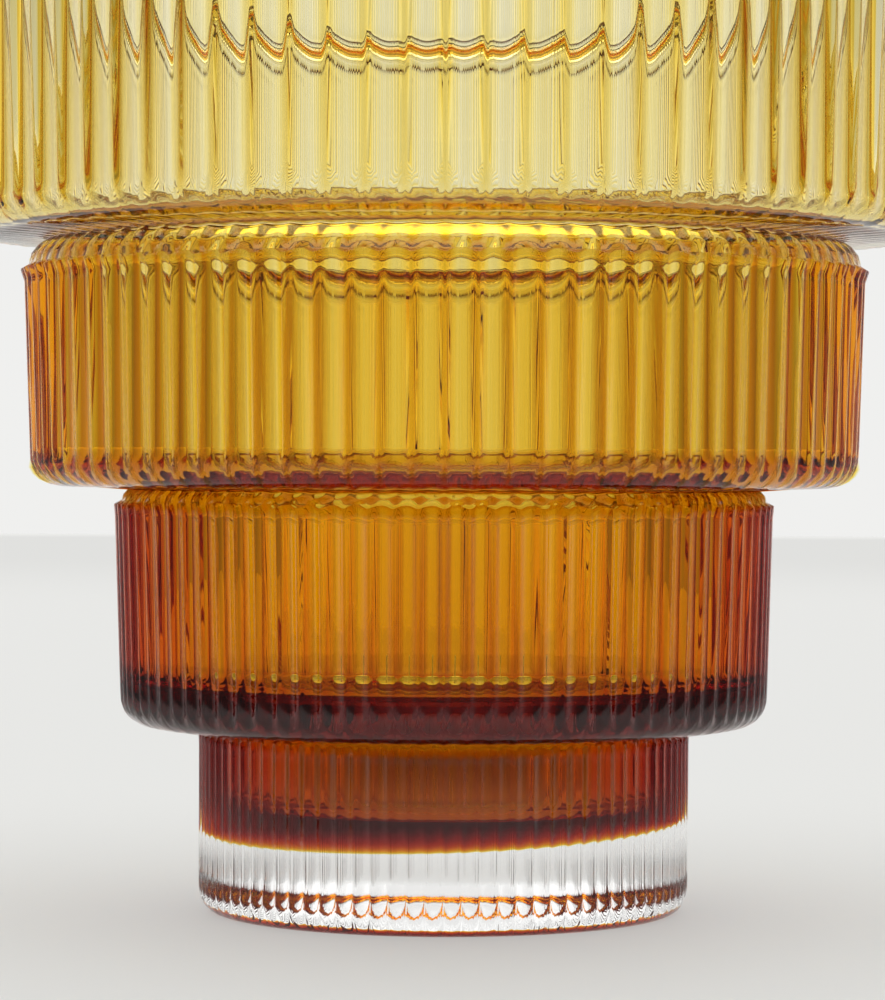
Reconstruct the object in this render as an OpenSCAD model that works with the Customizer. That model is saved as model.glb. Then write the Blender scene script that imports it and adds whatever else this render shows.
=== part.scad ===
// Stepped, fluted glass tealight holder: a clear casing fused over an amber
// liner, with the tealight that stands in its well.
// Millimetres, +Z up, origin at the middle of the foot on the table.

/* [Glass tiers] */
// number of flutes round every tier
flutes = 88; // [64:4:100]
// depth of a flute below its crests
flute_d = 0.75; // [0.4:0.05:0.9]
// crest radius of the foot tier
r1 = 29.4; // [28.8:0.1:30.5]
// crest radius of the second tier
r2 = 39.5; // [38.5:0.1:40.5]
// crest radius of the third tier
r3 = 50.6; // [49.5:0.1:51.5]
// crest radius of the fourth tier
r4 = 61; // [60:0.1:62]
// crest radius of the open top tier
r5 = 71.2; // [70:0.1:73]
// height from one underside to the next
pitch = 29.3; // [28:0.1:31]
// height of the foot tier
foot_h = 22.3; // [21:0.1:24]

/* [Glass layers] */
// solid clear glass under the amber
foot_glass = 9.4; // [8:0.1:10]
// amber floor the tealight stands on
well_floor = 3.2; // [2.5:0.1:4]
// radius of the well for the tealight
well_r = 22.6; // [21:0.1:23]
// clear casing left behind the flutes
case_t = 1.6; // [1.3:0.1:1.8]
// amber thickness in the second tier
amber2 = 3; // [2:0.1:3.2]
// amber thickness in the third tier
amber3 = 1.6; // [1:0.1:2]
// amber thickness in the fourth and top tiers
amber4 = 0.6; // [0.5:0.1:1]

/* [Tealight] */
// outside diameter of the cup
cup_d = 38; // [37:0.1:39]
// height of the cup
cup_h = 14; // [12:0.5:15]
// wall of the pressed cup
cup_t = 0.4; // [0.3:0.05:0.6]
// wax level above the cup floor
wax_h = 11.6; // [8:0.1:11.8]
// diameter of the wick
wick_d = 1.6; // [1.2:0.1:2]
// how far the wick stands out of the wax
wick_out = 7; // [4:0.5:12]
// diameter of the wick tab
tab_d = 13; // [10:0.5:16]

/* [Hidden] */
$fn = 96;
seat_gap = 0.3;
round_b = 3.2;
n_r = [r1, r2, r3, r4, r5];
// undersides of the five tiers and the rim
z_u = [0, foot_h, foot_h + 0.97 * pitch, foot_h + 1.98 * pitch, foot_h + 3.02 * pitch, foot_h + 4.03 * pitch];
// height of the shoulder over each tier's sharp top corner
sh = [1.2, 2.2, 4, 3.4, 2.2];
// radius of the neck on top of each tier
neck = [r1 - 1.3, r2 - 2.9, r3 - 4.7, r4 - 4.9, r5 - 3.2];
case_r = [for (r = n_r) r - flute_d - case_t];
amber_t = [case_r[0] - well_r, amber2, amber3, amber4, amber4];
cup_z = foot_glass + well_floor + seat_gap;

clear_col = [0.90, 0.95, 0.95, 0.45];
amber_col = [0.86, 0.50, 0.06, 0.75];
alu_col = [0.80, 0.81, 0.82];
wax_col = [0.96, 0.95, 0.91];
wick_col = [0.93, 0.91, 0.84];
tab_col = [0.66, 0.67, 0.69];

// points of a quarter-round with semi-axes a, b from angle f to t
function arc(x, y, a, b, f, t, n = 4) =
    [for (i = [0:n]) let (w = f + (t - f) * i / n) [x + a * cos(w), y + b * sin(w)]];

// fluted outline: a narrow crest, then a wide hollow
function flute_ring(r) =
    [for (i = [0:flutes - 1], p = [[-0.07, 0], [0.07, 0], [0.33, 1], [0.67, 1]])
        let (a = 360 * (i + p[0]) / flutes, q = r - flute_d * p[1]) [q * cos(a), q * sin(a)]];

// one tier as blown: flat underside, rounded lower edge, sharp corner, domed shoulder
module tier(i) {
    r = n_r[i];
    z0 = z_u[i];
    z1 = z_u[i + 1];
    zc = z1 - sh[i];
    over = i < 4 ? 1 : 0;
    intersection() {
        rotate_extrude()
            polygon(concat(
                [[0, z0]],
                arc(r + 0.4 - round_b, z0 + round_b, round_b, round_b, -90, 0),
                [[r + 0.4, zc]],
                arc(neck[i], zc + 0.5, r - 0.9 - neck[i], z1 - zc - 0.5, 0, 90),
                [[neck[i], z1 + over], [0, z1 + over]]));
        translate([0, 0, z0 - 1])
            linear_extrude(z1 - z0 + 3)
                polygon(flute_ring(r));
    }
}

// the stepped inside of a layer: t = thickness outside it per tier, z_in = its floor
function layer(t, z_in, lift) = concat(
    [[0, z_in]],
    arc(n_r[0] - t[0] - 2, z_in + 2, 2, 2, -90, 0, 3),
    [for (i = [1:4])
        let (w = n_r[i - 1] - t[i - 1], k = min(neck[i - 1] - t[i - 1] * 0.75, w), b = sh[i - 1] + 0.4)
        each concat(
            arc(k, z_u[i] - 1.1 - b - lift[i] * 0.5, w - k, b, 0, 90),
            [[k, z_u[i] + case_t + lift[i]]],
            arc(n_r[i] - t[i] - 2, z_u[i] + case_t + lift[i] + 2, 2, 2, -90, 0, 3))]);

module clear_casing() {
    color(clear_col)
        difference() {
            for (i = [0:4]) tier(i);
            rotate_extrude()
                polygon(concat(
                    layer([for (i = [0:4]) n_r[i] - case_r[i]], foot_glass, [0, 0, 0, 0, 0]),
                    [[case_r[4], z_u[5] + 1], [0, z_u[5] + 1]]));
        }
}

module amber_liner() {
    color(amber_col)
        difference() {
            rotate_extrude()
                polygon(concat(
                    layer([for (i = [0:4]) n_r[i] - case_r[i]], foot_glass, [0, 0, 0, 0, 0]),
                    [[case_r[4], z_u[5] - 0.3], [0, z_u[5] - 0.3]]));
            rotate_extrude()
                polygon(concat(
                    layer([for (i = [0:4]) n_r[i] - case_r[i] + amber_t[i]], foot_glass + well_floor,
                          [0, amber2, amber3, amber4, amber4]),
                    [[case_r[4] - amber_t[4], z_u[5] + 1], [0, z_u[5] + 1]]));
        }
}

module tealight_cup() {
    color(alu_col)
        translate([0, 0, cup_z])
            rotate_extrude()
                polygon([
                    [0, 0], [cup_d / 2 - 1, 0], [cup_d / 2 - 0.4, 0.6], [cup_d / 2 - 0.4, cup_h - 0.7],
                    [cup_d / 2, cup_h - 0.7], [cup_d / 2, cup_h], [cup_d / 2 - 0.4 - cup_t, cup_h],
                    [cup_d / 2 - 0.4 - cup_t, 1], [cup_d / 2 - 1.2, cup_t], [0, cup_t]]);
}

module tealight_wax() {
    color(wax_col)
        translate([0, 0, cup_z + cup_t])
            difference() {
                rotate_extrude()
                    polygon([
                        [0, 0], [cup_d / 2 - 1.2, 0], [cup_d / 2 - 0.4 - cup_t, 1 - cup_t],
                        [cup_d / 2 - 0.4 - cup_t, wax_h], [cup_d / 2 - 1.6, wax_h - 0.3],
                        [3, wax_h - 0.3], [0, wax_h - 0.8]]);
                wick_tab_shape();
                cylinder(d = wick_d, h = wax_h + 1);
            }
}

// pressed disc with a crimped neck that grips the wick
module wick_tab_shape() {
    cylinder(d = tab_d, h = 0.4);
    cylinder(d = wick_d + 1.2, h = 3);
}

module wick_tab() {
    color(tab_col)
        translate([0, 0, cup_z + cup_t])
            difference() {
                wick_tab_shape();
                translate([0, 0, 0.4])
                    cylinder(d = wick_d, h = 4);
            }
}

module tealight_wick() {
    color(wick_col)
        translate([0, 0, cup_z + cup_t + 0.4])
            cylinder(d = wick_d, h = wax_h - 1.2 + wick_out);
}

clear_casing();
amber_liner();
tealight_cup();
tealight_wax();
tealight_wick();
wick_tab();
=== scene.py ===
import math

import bmesh
import bpy
import numpy as np
from mathutils import Matrix, Vector


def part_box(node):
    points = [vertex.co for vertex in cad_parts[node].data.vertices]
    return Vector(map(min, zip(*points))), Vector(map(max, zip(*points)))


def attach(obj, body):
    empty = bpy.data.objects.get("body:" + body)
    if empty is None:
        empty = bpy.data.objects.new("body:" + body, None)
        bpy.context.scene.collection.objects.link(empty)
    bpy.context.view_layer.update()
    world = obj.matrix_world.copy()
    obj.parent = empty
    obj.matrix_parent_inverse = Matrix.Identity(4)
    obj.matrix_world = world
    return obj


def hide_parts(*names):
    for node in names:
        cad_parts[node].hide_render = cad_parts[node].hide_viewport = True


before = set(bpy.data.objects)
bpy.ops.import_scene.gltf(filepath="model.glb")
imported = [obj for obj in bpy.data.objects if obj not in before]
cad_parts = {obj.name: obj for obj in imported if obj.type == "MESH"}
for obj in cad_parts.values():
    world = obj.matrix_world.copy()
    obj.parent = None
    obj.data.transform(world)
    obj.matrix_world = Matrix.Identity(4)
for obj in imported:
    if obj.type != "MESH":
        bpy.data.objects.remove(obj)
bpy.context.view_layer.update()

# ---------------------------------------------------------------------------
# Camera. A long lens stands almost level with the joint between the second and
# third tiers and looks a touch down, so the tiers above show their undersides.
glass_low, glass_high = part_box("clear_casing")
DRAWN_WIDTH = 142.4
mm = (glass_high[0] - glass_low[0]) / DRAWN_WIDTH  # one millimetre of the holder's drawing

camera_data = bpy.data.cameras.new("camera")
camera_data.sensor_fit = "VERTICAL"
camera_data.sensor_height = 36.0
camera_data.lens = 140.4
camera_data.clip_start = 0.02
camera_data.clip_end = 20.0
camera = bpy.data.objects.new("camera", camera_data)
bpy.context.scene.collection.objects.link(camera)
bpy.context.scene.camera = camera
EYE = Vector((0.0, -468 * mm, 55.1 * mm))
TILT_DOWN = math.radians(0.735)
ROLL = math.radians(0.2)
PAN = math.radians(0.026)
camera.matrix_world = (
    Matrix.Translation(EYE)
    @ Matrix.Rotation(PAN, 4, "Z")
    @ Matrix.Rotation(math.radians(90) - TILT_DOWN, 4, "X")
    @ Matrix.Rotation(ROLL, 4, "Z")
)

# ---------------------------------------------------------------------------
# Clear glass casing. It is blown in a fluted mould in five steps, and keeps the
# mould's sharp top corners; the foot is a thick gather of solid clear glass.
FLUTES = 88
COLUMNS = 8  # mesh columns in one flute, crowded towards the narrow crest
COLUMN_AT = (0.0, 0.07, 0.17, 0.32, 0.5, 0.68, 0.83, 0.93)
SECTORS = 11

# Each tier: crest radius of its sharp lip, of the wall just under it and of the wall's foot, then the
# underside, the corner's height, the neck on top, the flute depth and the bottom rounding (width, height).
TIERS = (
    {"lip": 29.4, "high": 29.35, "low": 29.3, "under": 0.0, "corner": 21.1,
     "neck": 27.8, "flute": 0.5, "round": (1.8, 3.0)},
    {"lip": 39.5, "high": 39.4, "low": 38.7, "under": 22.3, "corner": 48.5,
     "neck": 36.4, "flute": 0.72, "round": (3.4, 3.6)},
    {"lip": 50.6, "high": 50.2, "low": 49.5, "under": 50.7, "corner": 76.3,
     "neck": 45.6, "flute": 0.92, "round": (3.6, 4.0)},
    {"lip": 61.0, "high": 60.5, "low": 59.8, "under": 80.3, "corner": 107.4,
     "neck": 55.8, "flute": 0.9, "round": (3.8, 4.2)},
    {"lip": 71.1, "high": 70.6, "low": 70.0, "under": 110.8, "corner": 138.2,
     "neck": 67.8, "flute": 1.0, "round": (4.0, 4.4)},
)
RIM = (glass_high[2] - glass_low[2]) / mm
PUNT = 0.9  # how far the middle of the foot's underside is hollowed


def flute(u):
    """How far into a flute the surface lies, 0 on the crest and 1 in the hollow, at share u across it."""
    soft = 0.2
    return (math.hypot(math.sin(math.pi * u), soft) - soft) / (math.hypot(1.0, soft) - soft)


def tier_top(i):
    return TIERS[i + 1]["under"] if i + 1 < len(TIERS) else RIM


def wall_radius(tier, share):
    """Crest radius of a tier's wall: it opens slightly upwards and flares into the sharp lip."""
    flare = max(0.0, (share - 0.94) / 0.06)
    return tier["low"] + (tier["high"] - tier["low"]) * share + (tier["lip"] - tier["high"]) * flare * flare


ARC_ROWS = 4
WALL_SHARES = (0.0, 0.08, 0.9, 0.94, 1.0)
DOME_ROWS = 5
LEDGE_SLOPE = 0.6
LEDGE_WIDTH = 0.95


def outer_point(i, part, step, depth):
    """Radius and height on the outside of tier i, where the flute lies depth deep. The foot's lower
    edge is fire polished to a steep, barely rounded chamfer; the other tiers have a full rounding."""
    tier = TIERS[i]
    (round_w, round_h), under, corner = tier["round"], tier["under"], tier["corner"]
    if i == 0 and part == "arc":
        share = (1 - (depth / round_w) ** 0.6) * step / ARC_ROWS
        return tier["low"] - round_w * (1 - share) ** 1.6, under + round_h * share**1.5
    end = -math.acos(1 - depth / round_w) if depth > 0 else 0.0
    if part == "arc":
        angle = -math.pi / 2 + (end + math.pi / 2) * step / ARC_ROWS
        rib = 0.16 * depth * (1 - step / ARC_ROWS)
        r = tier["low"] - round_w + round_w * math.cos(angle)
        return r, under + round_h + round_h * math.sin(angle) + rib
    if part == "wall":
        start = outer_point(i, "arc", ARC_ROWS, depth)[1]
        stop = corner + LEDGE_SLOPE * depth
        share = WALL_SHARES[step]
        return wall_radius(tier, share) - depth, start + (stop - start) * share
    top = tier_top(i)
    dome_z = corner + LEDGE_SLOPE * LEDGE_WIDTH
    dome_r = tier["lip"] - LEDGE_WIDTH
    if step == 0:
        share = min(1.0, (depth + 0.35) / LEDGE_WIDTH)
        return tier["lip"] - share * LEDGE_WIDTH, corner + LEDGE_SLOPE * share * LEDGE_WIDTH
    angle = math.pi / 2 * (step - 1) / (DOME_ROWS - 1)
    rib = 0.35 * depth * math.sin(angle * 2) ** 0.5 if 0 < angle < 1.5 else 0.0
    r = tier["neck"] + (dome_r - tier["neck"]) * math.cos(angle)
    z = dome_z + (top - dome_z) * math.sin(angle)
    return r - rib * math.cos(angle), z - rib * math.sin(angle)


# Inside of the whole wall, as the blowing left it: the radius of each tier's cavity, the height of
# its ledge, the neck above it, how strongly the flutes show through and the rounding at the ledge.
# Its shoulders are soft curves, because only the outside touched the mould.
CAVITY = (
    {"wall": 22.6, "floor": 12.6, "neck": 22.6, "fade": 0.05, "fillet": 2.6},
    {"wall": 33.9, "floor": 26.9, "neck": 33.2, "fade": 0.18, "fillet": 2.6},
    {"wall": 46.6, "floor": 52.7, "neck": 42.6, "fade": 0.3, "fillet": 2.0},
    {"wall": 57.9, "floor": 81.8, "neck": 54.0, "fade": 0.32, "fillet": 1.8},
    {"wall": 68.0, "floor": 112.3, "neck": 68.0, "fade": 0.3, "fillet": 1.8},
)
WELL_BEND = 2.5  # rounding at the foot of the well
GATHER_BEND = 1.2  # rounding of the amber gather's underside
FILLET_ROWS = 4
SHOULDER_ROWS = 5
SHOULDER_RISE = 1.2
LEDGE_DISH = 0.8  # each inner ledge falls this much towards the neck
NECK_BEND = 1.4
INNER_FLUTE = 0.6  # depth of the flutes on the inside at full strength
GUARD = 0.8  # rows this close to a bend keep its rounding off the straight wall beside it


def cavity_rows(depth_at):
    """Radius, height and flute strength of rows that run from the middle of the well floor to the rim,
    pushed out of the cavity into the glass by depth_at(height)."""
    rows = [(0.0, CAVITY[0]["floor"] - depth_at(CAVITY[0]["floor"]), 0.0)]
    for i, cavity in enumerate(CAVITY):
        wall, floor, fillet, fade = cavity["wall"], cavity["floor"], cavity["fillet"], cavity["fade"]
        depth = depth_at(floor)
        bend = fillet
        if i == 0:
            bend = WELL_BEND if depth < 1 else GATHER_BEND
        for n in range(FILLET_ROWS + 1):
            angle = math.pi / 2 * n / FILLET_ROWS
            r = wall + depth - bend + bend * math.sin(angle)
            rows.append((r, floor - depth + bend - bend * math.cos(angle), fade * n / FILLET_ROWS))
        if i == len(CAVITY) - 1:
            rows += [(wall + depth_at(z), z, fade) for z in (floor + fillet + GUARD, RIM - 8)]
            break
        neck, top = cavity["neck"], CAVITY[i + 1]["floor"]
        start, stop = TIERS[i]["corner"] + SHOULDER_RISE, top - NECK_BEND - LEDGE_DISH
        end = start if wall > neck else stop - depth_at(top)
        rows += [(wall + depth_at(z), z, fade) for z in (floor + fillet + GUARD, end - GUARD)]
        if wall > neck:
            for n in range(SHOULDER_ROWS):
                share = n / SHOULDER_ROWS
                z = start + (stop - start) * share
                sway = 0.5 - 0.5 * math.cos(math.pi * share)
                rows.append((wall + (neck - wall) * sway + depth_at(z), z, fade * (1 - 0.7 * share)))
        depth = depth_at(top)
        bend = max(0.3, NECK_BEND - depth)
        for n in range(3):
            angle = math.pi / 4 * n
            z = top - LEDGE_DISH - depth - bend * (1 - math.sin(angle))
            rows.append((neck + depth + bend * (1 - math.cos(angle)), z, 0.1))
    return rows


# How unlike each other the flutes are, in depth and in place, and how far the blown wall wanders.
DEPTH_SPREAD = 0.09
SHIFT_SPREAD = 0.035
WOBBLE = 0.05
uneven = np.random.default_rng(7).normal(0.0, 1.0, (2, FLUTES)).clip(-1.6, 1.6)


def spin_glass(name, outline, place, material):
    """Spins a half outline, (radius, height) points, round the Z axis, then moves each vertex to
    place(row, u): u runs from crest to crest of its flute. No two flutes leave the mould quite alike."""
    bm = bmesh.new()
    row_of = bm.verts.layers.int.new("row")
    verts = [bm.verts.new((r, 0.0, z)) for r, z in outline]
    for row, v in enumerate(verts):
        v[row_of] = row
    edges = [bm.edges.new(pair) for pair in zip(verts, verts[1:])]
    bmesh.ops.spin(
        bm, geom=verts + edges, cent=(0, 0, 0), axis=(0, 0, 1), angle=math.tau / SECTORS,
        steps=FLUTES * COLUMNS // SECTORS, use_merge=False, use_duplicate=False,
    )
    bmesh.ops.spin(
        bm, geom=bm.verts[:] + bm.edges[:] + bm.faces[:], cent=(0, 0, 0), axis=(0, 0, 1),
        angle=math.tau * (SECTORS - 1) / SECTORS, steps=SECTORS - 1, use_merge=False, use_duplicate=True,
    )
    bmesh.ops.remove_doubles(bm, verts=bm.verts, dist=1e-3)
    bmesh.ops.recalc_face_normals(bm, faces=bm.faces)
    for face in bm.faces:
        face.smooth = True
    mesh = bpy.data.meshes.new(name)
    bm.to_mesh(mesh)
    bm.free()

    co = np.empty(3 * len(mesh.vertices), dtype=np.float32)
    mesh.vertices.foreach_get("co", co)
    co = co.reshape(-1, 3)
    rows = np.empty(len(co), dtype=np.int32)
    mesh.attributes["row"].data.foreach_get("value", rows)
    column = np.round(np.arctan2(co[:, 1], co[:, 0]) / math.tau * FLUTES * COLUMNS).astype(int)
    table = np.array([[place(row, u) for u in COLUMN_AT] for row in range(len(outline))])
    radius, height = table[rows, column % COLUMNS].T
    crest = table[rows, 0, 0]
    number = column // COLUMNS % FLUTES
    share = np.array(COLUMN_AT)[column % COLUMNS]
    hollow = np.sin(np.pi * share)
    radius = crest + (radius - crest) * (1 + DEPTH_SPREAD * uneven[0][number])
    angle = (column // COLUMNS + share + SHIFT_SPREAD * hollow * uneven[1][number]) / FLUTES * math.tau
    wobble = np.sin(3 * angle + 0.05 * height) * np.sin(0.11 * height + 2 * angle)
    radius = radius + np.where(crest > 1, WOBBLE, 0.0) * wobble
    placed = np.stack((radius * np.cos(angle), radius * np.sin(angle), height), axis=1) * mm
    mesh.vertices.foreach_set("co", placed.astype(np.float32).ravel())
    mesh.materials.append(material)
    piece = bpy.data.objects.new(name, mesh)
    bpy.context.scene.collection.objects.link(piece)
    return piece


def new_material(name):
    material = bpy.data.materials.new(name)
    material.use_nodes = True
    return material, material.node_tree.nodes, material.node_tree.links


clear_glass, nodes, links = new_material("clear_glass")
shader = nodes["Principled BSDF"]
shader.inputs["Base Color"].default_value = (1.0, 1.0, 1.0, 1.0)
shader.inputs["Transmission Weight"].default_value = 1.0
shader.inputs["Roughness"].default_value = 0.0
shader.inputs["IOR"].default_value = 1.51

outer_rows = [("foot", 0, 0), ("foot", 0, 1)]
for i in range(len(TIERS)):
    outer_rows += [(i, "arc", step) for step in range(ARC_ROWS + 1)]
    outer_rows += [(i, "wall", step) for step in range(1, len(WALL_SHARES))]
    outer_rows += [(i, "dome", step) for step in range(DOME_ROWS)]
inner = cavity_rows(lambda z: 0.0)

underside = [(0.0, PUNT), (13.0, PUNT * 0.75)]
outline = underside + [outer_point(i, part, step, 0.0) for i, part, step in outer_rows[2:]]
rim_bead = [(68.7, RIM - 0.35), (68.2, RIM - 1.2)]
outline += rim_bead
outline += [(r, z) for r, z, _ in reversed(inner)]
inner_start = len(outer_rows) + len(rim_bead)


def casing_place(row, u):
    hollow = flute(u)
    if row < len(underside) or len(outer_rows) <= row < inner_start:
        return outline[row]
    if row < inner_start:
        i, part, step = outer_rows[row]
        return outer_point(i, part, step, TIERS[i]["flute"] * hollow)
    r, height, strength = inner[inner_start - 1 - row]
    return r + INNER_FLUTE * strength * (0.5 - hollow), height


casing = spin_glass("glass_casing", outline, casing_place, clear_glass)
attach(casing, "holder")
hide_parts("clear_casing")

# ---------------------------------------------------------------------------
# Amber liner. A gather of coloured glass fused inside the clear one, thick and dark at the well and
# thin and pale near the rim. Light does not bend between fused glasses, so its own IOR is 1.
amber_glass, nodes, links = new_material("amber_glass")
shader = nodes["Principled BSDF"]
shader.inputs["Base Color"].default_value = (1.0, 1.0, 1.0, 1.0)
shader.inputs["Transmission Weight"].default_value = 1.0
shader.inputs["Roughness"].default_value = 0.0
shader.inputs["IOR"].default_value = 1.0
absorb = nodes.new("ShaderNodeVolumeAbsorption")
absorb.inputs["Color"].default_value = (0.947, 0.806, 0.0, 1.0)
absorb.inputs["Density"].default_value = 1300.0
links.new(absorb.outputs[0], nodes["Material Output"].inputs["Volume"])

# Amber thickness through the wall at each height, from the well floor to the rim.
AMBER = (
    (12.6, 3.3), (13.5, 4.6), (21.0, 4.6), (27.0, 3.4), (33.0, 2.6), (44.0, 2.1), (47.5, 2.5),
    (50.0, 2.4), (52.7, 1.8), (55.0, 1.45), (65.0, 1.3), (76.0, 1.15), (77.5, 1.8), (79.5, 2.2),
    (81.0, 0.8), (81.8, 0.35), (88.0, 0.5), (107.0, 0.58), (112.3, 0.3), (140.5, 0.28),
)
SKIN = 0.02  # clearance that keeps the amber's inside off the casing's
FAINT_BELOW = 40.0  # the inside's flutes are fainter below this height
SLANT = 0.9  # the amber gather sits a little askew in the foot: it rises this much to the right
SLANT_BOW = 0.4  # and curls up this much at both sides
SLANT_R = 27
SLANT_TOP = 12.0


def amber_at(z):
    for (z0, t0), (z1, t1) in zip(AMBER, AMBER[1:]):
        if z <= z1:
            return t0 + (t1 - t0) * max(0.0, (z - z0) / (z1 - z0))
    return AMBER[-1][1]


liner_inner = cavity_rows(lambda z: SKIN)
liner_outer = cavity_rows(amber_at)
liner_outline = [(r, z) for r, z, _ in liner_outer] + [(r, z) for r, z, _ in reversed(liner_inner)]


def liner_place(row, u):
    """The amber is thicker behind each crest than behind each hollow."""
    hollow = flute(u)
    r, height, strength = (liner_outer + liner_inner[::-1])[row]
    r += INNER_FLUTE * strength * (0.5 - hollow)
    if row < len(liner_outer) and strength > 0:
        thick = amber_at(height)
        full_strength = 0.15 if height < FAINT_BELOW else 0.3
        swell = min(1.6 * thick, 2.2 * thick / (0.5 + thick)) * min(1.0, strength / full_strength)
        r += swell * ((1 - hollow) ** 2 - 0.3)
    return r, height


liner = spin_glass("amber_glass_liner", liner_outline, liner_place, amber_glass)
for v in liner.data.vertices:
    if v.co.z < SLANT_TOP * mm:
        side = v.co.x / (SLANT_R * mm)
        v.co.z += (SLANT * side + SLANT_BOW * side * side) * mm
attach(liner, "holder")
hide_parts("amber_liner")

# ---------------------------------------------------------------------------
# Tealight cup. Thin aluminium sheet pressed into a shallow cup: the draw leaves faint pleats in the
# wall, and the cut edge is rolled outwards into a bead.
cup_low, cup_high = (tuple(c / mm for c in corner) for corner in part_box("tealight_cup"))
CUP_R = cup_high[0] - 0.45
CUP_SHEET = 0.3
PLEATS = 36
PLEAT = 0.07


def turned(name, outline, steps, shape, material):
    """Spins an outline of (radius, height) points and lets shape(r, z, angle) adjust each vertex."""
    bm = bmesh.new()
    verts = [bm.verts.new((r, 0.0, z)) for r, z in outline]
    edges = [bm.edges.new(pair) for pair in zip(verts, verts[1:])]
    bmesh.ops.spin(
        bm, geom=verts + edges, cent=(0, 0, 0), axis=(0, 0, 1), angle=math.tau, steps=steps,
        use_merge=True, use_duplicate=False,
    )
    bmesh.ops.remove_doubles(bm, verts=bm.verts, dist=1e-3)
    bmesh.ops.recalc_face_normals(bm, faces=bm.faces)
    for v in bm.verts:
        angle = math.atan2(v.co.y, v.co.x)
        r, z = shape(math.hypot(v.co.x, v.co.y), v.co.z, angle)
        v.co = Vector((r * math.cos(angle), r * math.sin(angle), z)) * mm
    for face in bm.faces:
        face.smooth = True
    mesh = bpy.data.meshes.new(name)
    bm.to_mesh(mesh)
    bm.free()
    mesh.materials.append(material)
    piece = bpy.data.objects.new(name, mesh)
    bpy.context.scene.collection.objects.link(piece)
    return piece


def surface_noise(material, scale, stretch, detail):
    """Noise in the piece's own space, stretched along the axes, that drives tone, roughness and bump."""
    nodes, links = material.node_tree.nodes, material.node_tree.links
    place = nodes.new("ShaderNodeTexCoord")
    fit = nodes.new("ShaderNodeMapping")
    fit.inputs["Scale"].default_value = stretch
    noise = nodes.new("ShaderNodeTexNoise")
    noise.inputs["Scale"].default_value = scale
    noise.inputs["Detail"].default_value = detail
    links.new(place.outputs["Object"], fit.inputs["Vector"])
    links.new(fit.outputs["Vector"], noise.inputs["Vector"])
    return noise.outputs["Fac"]


def tone(material, source, dark, light, socket="Base Color"):
    """Runs a factor through two colours, or two values, into a socket of the shader."""
    nodes, links = material.node_tree.nodes, material.node_tree.links
    blend = nodes.new("ShaderNodeValToRGB")
    blend.color_ramp.elements[0].position = 0.3
    blend.color_ramp.elements[1].position = 0.7
    blend.color_ramp.elements[0].color = dark
    blend.color_ramp.elements[1].color = light
    links.new(source, blend.inputs["Fac"])
    links.new(blend.outputs["Color"], nodes["Principled BSDF"].inputs[socket])


def grain(material, source, depth):
    nodes, links = material.node_tree.nodes, material.node_tree.links
    bump = nodes.new("ShaderNodeBump")
    bump.inputs["Strength"].default_value = 0.6
    bump.inputs["Distance"].default_value = depth
    links.new(source, bump.inputs["Height"])
    links.new(bump.outputs["Normal"], nodes["Principled BSDF"].inputs["Normal"])


aluminium, nodes, links = new_material("pressed_aluminium")
nodes["Principled BSDF"].inputs["Metallic"].default_value = 1.0
rolled = surface_noise(aluminium, 900.0, (1.0, 1.0, 0.08), 3.0)
tone(aluminium, rolled, (0.78, 0.79, 0.80, 1.0), (0.90, 0.91, 0.92, 1.0))
tone(aluminium, rolled, (0.24, 0.24, 0.24, 1.0), (0.40, 0.40, 0.40, 1.0), "Roughness")
grain(aluminium, rolled, 0.00003)


def cup_shape(r, z, angle):
    """Pleats that fade out towards the floor and the bead."""
    share = (z - cup_low[2]) / (cup_high[2] - cup_low[2])
    fade = math.sin(math.pi * min(1.0, max(0.0, share)))
    pleat = PLEAT * math.sin(PLEATS * angle + 0.8 * math.sin(5 * angle)) * fade
    return (r - PLEAT + pleat, z) if r > CUP_R - 1.2 else (r, z)


BEAD_R = 0.4
bead = [(CUP_R - 0.05 + BEAD_R * math.cos(a), cup_high[2] - BEAD_R + BEAD_R * math.sin(a))
        for a in (math.radians(d) for d in range(-130, 181, 31))]
base, top = cup_low[2], cup_high[2]
cup_outline = [(0.0, base + 0.25), (11.0, base + 0.25), (11.6, base), (CUP_R - 1.2, base),
               (CUP_R - 0.5, base + 0.2), (CUP_R - 0.1, base + 0.8), (CUP_R, base + 1.6),
               (CUP_R, base + 6.0), (CUP_R, top - 1.6)]
cup_outline += bead
cup_outline += [(CUP_R - CUP_SHEET, top - 1.2), (CUP_R - CUP_SHEET, base + 6.0),
                (CUP_R - CUP_SHEET, base + 1.7), (CUP_R - 0.9, base + 0.55),
                (CUP_R - 1.6, base + CUP_SHEET), (0.0, base + 0.25 + CUP_SHEET)]
cup = turned("tealight_aluminium_cup", cup_outline, 216, cup_shape, aluminium)
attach(cup, "tealight")
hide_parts("tealight_cup")

# ---------------------------------------------------------------------------
# Wax. Paraffin poured into the cup: it creeps up the wall in a small meniscus and up the wick, and
# its surface sinks a little and ripples as it sets.
wax_low, wax_high = (tuple(c / mm for c in corner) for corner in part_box("tealight_wax"))
WAX_R = CUP_R - CUP_SHEET - 0.1
WAX_DISH = 0.3  # how far the surface sinks towards the wick
level = wax_high[2] - 0.55

wax, nodes, links = new_material("paraffin_wax")
shader = nodes["Principled BSDF"]
shader.inputs["Subsurface Weight"].default_value = 0.65
shader.inputs["Subsurface Radius"].default_value = (1.0, 0.75, 0.5)
shader.inputs["Subsurface Scale"].default_value = 0.004
shader.inputs["Coat Weight"].default_value = 0.15
shader.inputs["Coat Roughness"].default_value = 0.25
mottle = surface_noise(wax, 260.0, (1.0, 1.0, 1.0), 5.0)
tone(wax, mottle, (0.84, 0.82, 0.76, 1.0), (0.93, 0.92, 0.88, 1.0))
tone(wax, mottle, (0.34, 0.34, 0.34, 1.0), (0.52, 0.52, 0.52, 1.0), "Roughness")
grain(wax, mottle, 0.00012)

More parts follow.
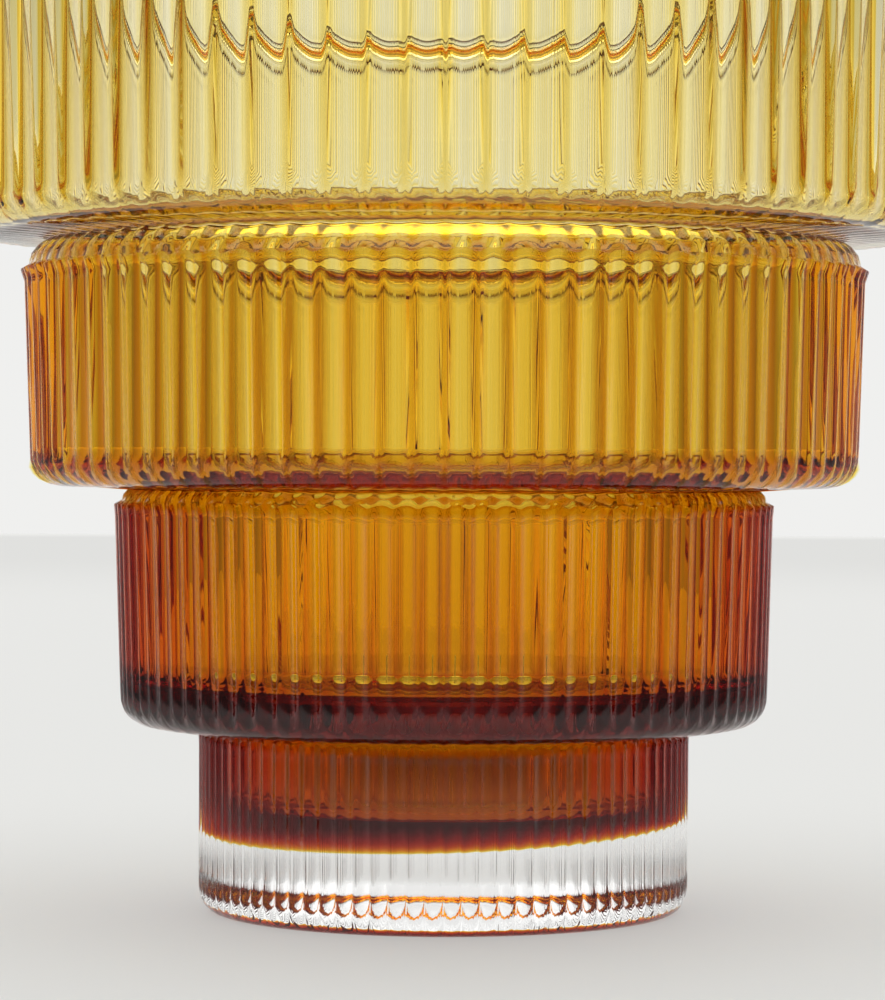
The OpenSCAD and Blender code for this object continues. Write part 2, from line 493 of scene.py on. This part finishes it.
wax_outline = [(0.0, wax_low[2] + 0.2), (WAX_R - 1.4, wax_low[2] + 0.2), (WAX_R, wax_low[2] + 1.2),
               (WAX_R, level + 0.5), (WAX_R - 0.25, level + 0.42), (WAX_R - 0.7, level + 0.15),
               (WAX_R - 1.5, level + 0.02)]
wax_outline += [(r, level - WAX_DISH * math.cos(math.pi / 2 * r / WAX_R) ** 2)
                for r in (15.0, 12.5, 10.0, 7.5, 5.0, 3.5, 2.4)]
wax_outline += [(1.6, level - 0.12), (1.1, level + 0.2), (0.9, level + 0.5), (0.0, level + 0.5)]


def wax_shape(r, z, angle):
    """Slow ripples that die out at the wall and at the wick."""
    ripple = 0.07 * math.sin(2.1 * r + 2 * math.sin(angle)) + 0.05 * math.sin(3 * angle + 0.5 * r)
    if z > level - 0.5 and r < WAX_R - 0.5:
        z += ripple * math.sin(math.pi * r / WAX_R) ** 2
    return r, z


candle = turned("tealight_wax_fill", wax_outline, 96, wax_shape, wax)
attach(candle, "tealight")
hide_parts("tealight_wax")

# ---------------------------------------------------------------------------
# Wick tab. A disc of thin tinned sheet with a stiffening ring pressed into it; its neck is drawn up
# and crimped round the wick.
tab_low, tab_high = (tuple(c / mm for c in corner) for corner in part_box("wick_tab"))
TAB_R = tab_high[0]
NECK_R = 1.35
BORE_R = 0.85

tin, nodes, links = new_material("tinned_sheet")
nodes["Principled BSDF"].inputs["Metallic"].default_value = 1.0
spangle = surface_noise(tin, 700.0, (1.0, 1.0, 1.0), 4.0)
tone(tin, spangle, (0.52, 0.53, 0.55, 1.0), (0.70, 0.71, 0.72, 1.0))
tone(tin, spangle, (0.28, 0.28, 0.28, 1.0), (0.46, 0.46, 0.46, 1.0), "Roughness")
grain(tin, spangle, 0.00002)

seat, tip = tab_low[2], tab_high[2]
tab_outline = [(BORE_R, seat), (TAB_R - 0.15, seat), (TAB_R, seat + 0.15), (TAB_R - 0.15, seat + 0.3),
               (TAB_R - 1.0, seat + 0.3), (TAB_R - 1.5, seat + 0.38), (TAB_R - 2.0, seat + 0.3),
               (2.4, seat + 0.3), (1.7, seat + 0.6), (NECK_R, seat + 1.2), (NECK_R, tip - 0.15),
               (NECK_R - 0.15, tip), (BORE_R + 0.1, tip - 0.05), (BORE_R, tip - 0.3), (BORE_R, seat)]


def tab_shape(r, z, angle):
    """Four crimps that pinch the neck."""
    pinch = 0.1 * max(0.0, math.cos(4 * angle)) * min(1.0, max(0.0, (z - seat - 0.8) / 0.6))
    return (r - pinch, z) if 1.0 < r < 1.5 else (r, z)


tab = turned("tealight_wick_tab", tab_outline, 64, tab_shape, tin)
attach(tab, "tealight")
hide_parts("wick_tab")

# ---------------------------------------------------------------------------
# Wick. Cotton braided in eight strands and stiffened with wax, cut off square and leaning a
# little where it stands out of the wax.
wick_low, wick_high = (tuple(c / mm for c in corner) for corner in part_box("tealight_wick"))
WICK_R = 0.74
BRAID_PITCH = 2.6
WICK_ROWS = 110
LEAN = 0.5

cotton, nodes, links = new_material("waxed_cotton")
fibre = surface_noise(cotton, 2600.0, (1.0, 1.0, 0.35), 4.0)
tone(cotton, fibre, (0.74, 0.69, 0.58, 1.0), (0.92, 0.89, 0.81, 1.0))
tone(cotton, fibre, (0.55, 0.55, 0.55, 1.0), (0.85, 0.85, 0.85, 1.0), "Roughness")
grain(cotton, fibre, 0.00008)
nodes["Principled BSDF"].inputs["Sheen Weight"].default_value = 0.3

wick_rows = [wick_low[2] + (wick_high[2] - wick_low[2]) * n / WICK_ROWS for n in range(WICK_ROWS + 1)]
wick_outline = [(0.0, wick_rows[0])] + [(WICK_R, z) for z in wick_rows] + [(0.0, wick_rows[-1])]


def braid_shape(r, z, angle):
    """Two sets of four strands wind opposite ways and lie over each other in turn."""
    turn = math.tau * z / BRAID_PITCH
    strand = max(math.sin(4 * angle + turn), math.sin(4 * angle - turn))
    return (r - 0.13 + 0.11 * strand, z) if r > 0.1 else (r, z)


wick = turned("tealight_cotton_wick", wick_outline, 48, braid_shape, cotton)
for v in wick.data.vertices:
    free = max(0.0, v.co.z / mm - level) / (wick_high[2] - level)
    v.co.x += LEAN * free * free * mm
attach(wick, "tealight")
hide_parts("tealight_wick")

# ---------------------------------------------------------------------------
# Studio: a pale floor that runs back to a white wall. The room is bright behind the holder and
# overhead, and dim behind the camera, so that the glass glows and keeps dark edges.
WALL_Y = 2.06
FLOOR_FADE = 0.12
floor_painted_light, nodes, links = new_material("floor_painted_light")
shader = nodes["Principled BSDF"]
shader.inputs["Roughness"].default_value = 0.7
shader.inputs["Specular IOR Level"].default_value = 0.15
# The floor glows with painted light of its own, so the glass's shadow on it stays faint.
shader.inputs["Emission Color"].default_value = (1.0, 1.0, 0.985, 1.0)
place = nodes.new("ShaderNodeTexCoord")
split = nodes.new("ShaderNodeSeparateXYZ")
links.new(place.outputs["Object"], split.inputs[0])


def ramp(tree, source, low, high, start, end):
    """A smooth step of a value: start below low, end above high."""
    step = tree.nodes.new("ShaderNodeMapRange")
    step.interpolation_type = "SMOOTHSTEP"
    for name, value in (("From Min", low), ("From Max", high), ("To Min", start), ("To Max", end)):
        step.inputs[name].default_value = value
    tree.links.new(source, step.inputs["Value"])
    return step.outputs["Result"]


def combine(tree, operation, first, second=0.0):
    """Arithmetic on two values, each a plain number or another node's output."""
    node = tree.nodes.new("ShaderNodeMath")
    node.operation = operation
    for socket, value in zip(node.inputs, (first, second)):
        if isinstance(value, float):
            socket.default_value = value
        else:
            tree.links.new(value, socket)
    return node.outputs[0]


# Both the floor far off, whose light is painted into its colour and glow, and the room, which lights the
# scene, are bright at the back and dim at the front (ROOM), and a little brighter just outside the camera's
# view (ASIDE).
ROOM = (-0.75, 0.5, 0.16, 1.0)
ASIDE = (0.16, 0.32)
SIDE_LIGHT = 1.3
WALL_LIGHT = 0.87
tree = floor_painted_light.node_tree
toward = nodes.new("ShaderNodeVectorMath")
toward.operation = "NORMALIZE"
links.new(place.outputs["Object"], toward.inputs[0])
split_toward = nodes.new("ShaderNodeSeparateXYZ")
links.new(toward.outputs["Vector"], split_toward.inputs[0])
reach = nodes.new("ShaderNodeVectorMath")
reach.operation = "LENGTH"
links.new(place.outputs["Object"], reach.inputs[0])
far_off = ramp(tree, reach.outputs["Value"], 0.6, 1.2, 0.0, 1.0)
# Painted light in the floor's colour and glow: full near the holder; farther off, dim at the front, bright
# at the back and brighter at the sides.
light = nodes.new("ShaderNodeMix")
links.new(ramp(tree, reach.outputs["Value"], 0.09, 0.26, 0.0, 1.0), light.inputs["Factor"])
light.inputs["A"].default_value = 1.0
links.new(ramp(tree, split_toward.outputs["Y"], *ROOM), light.inputs["B"])
aside = combine(tree, "ABSOLUTE", split_toward.outputs["X"])
beside = combine(tree, "MULTIPLY", ramp(tree, aside, *ASIDE, 0.0, SIDE_LIGHT - 1), far_off)
painted_light_gain = combine(tree, "MULTIPLY", light.outputs["Result"], combine(tree, "ADD", beside, 1.0))
shade = nodes.new("ShaderNodeVectorMath")
shade.operation = "SCALE"
shade.inputs[0].default_value = (0.35, 0.35, 0.343)
links.new(painted_light_gain, shade.inputs["Scale"])
links.new(shade.outputs["Vector"], shader.inputs["Base Color"])
# The floor's painted glow falls off a little towards the wall, and meets it in a short painted bright fade.
painted_glow_falloff = ramp(tree, split.outputs["Y"], 0.9, 1.55, 0.405, 0.345)
painted_wall_glow = ramp(tree, split.outputs["Y"], WALL_Y - FLOOR_FADE, WALL_Y, 0.0, 0.095)
glow = combine(tree, "MULTIPLY", painted_light_gain, combine(tree, "ADD", painted_glow_falloff, painted_wall_glow))
links.new(glow, shader.inputs["Emission Strength"])

floor_mesh = bpy.data.meshes.new("floor")
floor_mesh.from_pydata([(-4, -4, 0), (4, -4, 0), (4, WALL_Y, 0), (-4, WALL_Y, 0)], [], [(0, 1, 2, 3)])
floor_mesh.materials.append(floor_painted_light)
floor = bpy.data.objects.new("floor", floor_mesh)
bpy.context.scene.collection.objects.link(floor)

world = bpy.data.worlds.new("studio")
bpy.context.scene.world = world
world.use_nodes = True
tree = world.node_tree
background = tree.nodes["Background"]
background.inputs["Color"].default_value = (1.0, 1.0, 0.985, 1.0)
look = tree.nodes.new("ShaderNodeTexCoord")
split = tree.nodes.new("ShaderNodeSeparateXYZ")
tree.links.new(look.outputs["Generated"], split.inputs[0])
aside = combine(tree, "ABSOLUTE", split.outputs["X"])

# The wall behind is even where the camera sees it, a little brighter beside that, then dim far to the
# sides and high up; a soft ceiling light hangs overhead.
back_wall = ramp(tree, aside, *ASIDE, WALL_LIGHT, WALL_LIGHT * SIDE_LIGHT)
wall = combine(tree, "MULTIPLY", ramp(tree, split.outputs["Y"], *ROOM), back_wall)
wall = combine(tree, "MULTIPLY", wall, ramp(tree, split.outputs["Z"], 0.4, 0.7, 1.0, 0.3))
wall = combine(tree, "MULTIPLY", wall, ramp(tree, aside, 0.5, 0.85, 1.0, 0.58))
ceiling = ramp(tree, split.outputs["Z"], 0.72, 0.92, 0.0, 2.3)
tree.links.new(combine(tree, "ADD", wall, ceiling), background.inputs["Strength"])

scene = bpy.context.scene
scene.view_settings.view_transform = "Standard"
scene.cycles.max_bounces = 32
scene.cycles.transmission_bounces = 32
scene.cycles.glossy_bounces = 16
